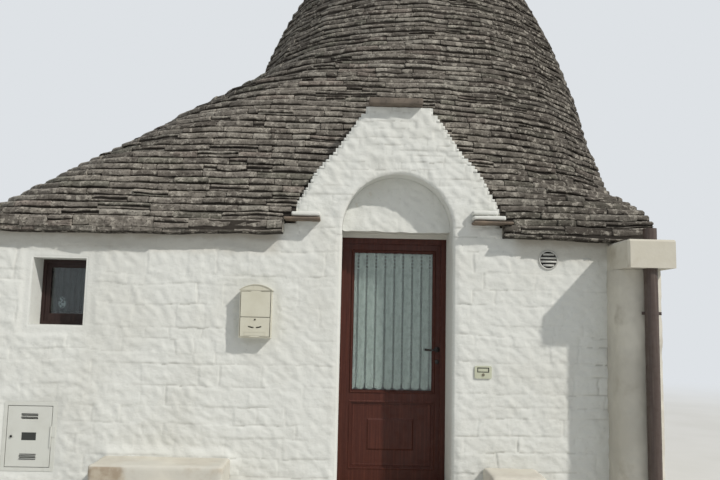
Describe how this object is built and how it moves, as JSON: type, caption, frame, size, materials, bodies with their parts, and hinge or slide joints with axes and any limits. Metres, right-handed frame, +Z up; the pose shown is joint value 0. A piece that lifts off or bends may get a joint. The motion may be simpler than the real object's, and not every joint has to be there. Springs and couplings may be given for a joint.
{
  "type": "trullo house",
  "caption": "Dry-stone house with a corbelled cone roof of stone slabs, whitewashed walls, stepped gable over an arched doorway, glazed door that opens and a small window.",
  "frame": {"origin": "on the ground under the tip of the cone", "axes": "+Z up, +X right along the street front seen from the street, +Y into the house; the street front faces -Y"},
  "size_m": [5.67, 5.36, 7.042],
  "materials": {
    "whitewash": "limewashed rubble masonry",
    "roof_stone": "weathered limestone slabs with lichen",
    "floor_stone": "worn limestone paving",
    "seat_stone": "bare and limewashed seat stone",
    "pier_plaster": "smooth cream plaster",
    "brown_metal": "dark brown paint, satin",
    "door_brown": "dark red-brown paint, semi-gloss",
    "window_brown": "dark brown varnish",
    "clear_glass": "clear pane",
    "lace": "white crocheted lace",
    "black_handle": "black satin",
    "meter_white": "off-white moulded plastic",
    "smoked_pane": "smoked sight glass",
    "letter_cream": "cream enamel, semi-gloss",
    "bell_cream": "aged cream plastic",
    "bell_button": "dark push",
    "vent_white": "limewashed plastic grille"
  },
  "bodies": {
    "house": {"front_wall_left": "whitewash", "front_wall_right": "whitewash", "back_wall": "whitewash", "end_wall": "whitewash", "party_wall": "whitewash", "floor": "floor_stone", "door_step": "floor_stone", "tympanum": "whitewash", "gable": "whitewash", "gable_foot_slabs": "whitewash", "gable_cap_slab": "roof_stone", "roof_skirt_front_left": "roof_stone", "roof_skirt_front_right": "roof_stone", "roof_skirt_back_left": "roof_stone", "roof_skirt_back_right": "roof_stone", "roof_cone_front": "roof_stone", "roof_cone_back": "roof_stone", "roof_cone_top": "roof_stone", "roof_capstone": "roof_stone", "pinnacle": "whitewash", "left_bench": "seat_stone", "right_bench": "seat_stone", "corner_pier": "pier_plaster", "pier_cap": "pier_plaster", "downpipe": "brown_metal", "pipe_clamp": "brown_metal", "door_frame": "door_brown", "window_frame": "window_brown", "window_glass": "clear_glass", "window_curtain": "lace", "meter_box": "meter_white", "letter_box": "letter_cream", "bell_plate": "bell_cream", "vent_grille": "vent_white"},
    "front_door": {"door_leaf": "door_brown", "door_panel": "door_brown", "door_glass": "clear_glass", "door_curtain": "lace"},
    "door_lever": {"door_handle": "black_handle"},
    "meter_door": {"meter_door": "meter_white", "meter_sight_glass": "smoked_pane"},
    "letter_flap": {"letter_box_flap": "letter_cream"},
    "letter_door": {"letter_box_door": "letter_cream"},
    "bell_push": {"bell_button": "bell_button"}
  },
  "joints": [
    {"name": "front_door_hinge", "type": "hinge", "parent": "house", "child": "front_door", "pos_m": [-0.715, -1.921, 1.17], "axis": [0, 0, 1], "range_deg": [0, 90]},
    {"name": "door_lever_turn", "type": "hinge", "parent": "front_door", "child": "door_lever", "pos_m": [0.073, -1.96, 1.28], "axis": [0, -1, 0], "range_deg": [0, 40], "stiffness_Nm_per_rad": 1, "springref_deg": -34.38},
    {"name": "meter_door_hinge", "type": "hinge", "parent": "house", "child": "meter_door", "pos_m": [-2.971, -2.41, 0.57], "axis": [0, 0, 1], "range_deg": [0, 110]},
    {"name": "letter_flap_hinge", "type": "hinge", "parent": "house", "child": "letter_flap", "pos_m": [-1.417, -2.497, 1.727], "axis": [-1, 0, 0], "range_deg": [0, 75]},
    {"name": "letter_door_hinge", "type": "hinge", "parent": "house", "child": "letter_door", "pos_m": [-1.417, -2.497, 1.368], "axis": [1, 0, 0], "range_deg": [0, 90]},
    {"name": "bell_press", "type": "slide", "parent": "house", "child": "bell_push", "axis": [0, 1, 0], "range_m": [0, 0.002], "stiffness_N_per_m": 500, "springref_m": -0.002}
  ]
}
